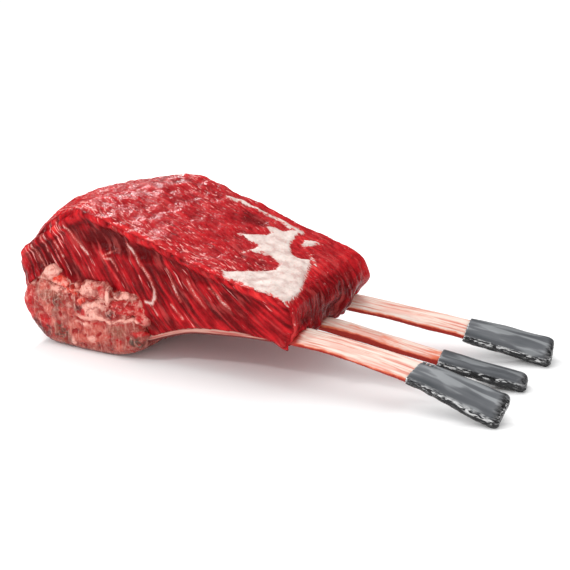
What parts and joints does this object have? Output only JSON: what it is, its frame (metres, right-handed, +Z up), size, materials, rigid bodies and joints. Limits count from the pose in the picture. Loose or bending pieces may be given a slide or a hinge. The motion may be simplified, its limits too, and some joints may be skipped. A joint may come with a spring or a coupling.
{
  "type": "beef rib roast",
  "caption": "Raw beef rib roast with long cleaned rib bones in dark wraps, lying on its chine and its bone tips.",
  "frame": {"origin": "on the floor, under the middle of the whole roast's box", "axes": "+X along the rib bones towards their tips, +Y across the ribs from the near cut face to the far one, +Z up"},
  "size_m": [0.4928, 0.2026, 0.146],
  "materials": {
    "meat": "raw, moist beef with pale marbling and a cream fat patch",
    "chine": "cut backbone with cartilage, fat and membrane, uneven and moist",
    "bone": "scraped raw rib bone, cream with pink streaks and a red underside",
    "wrap": "dark grey foil, smooth on top and crinkled at its lower edge and end"
  },
  "bodies": {
    "root": {"meat": "meat", "chine_bone": "chine", "rib_near": "bone", "rib_middle": "bone", "rib_far": "bone", "wrap_near": "wrap", "wrap_middle": "wrap", "wrap_far": "wrap"}
  },
  "joints": []
}
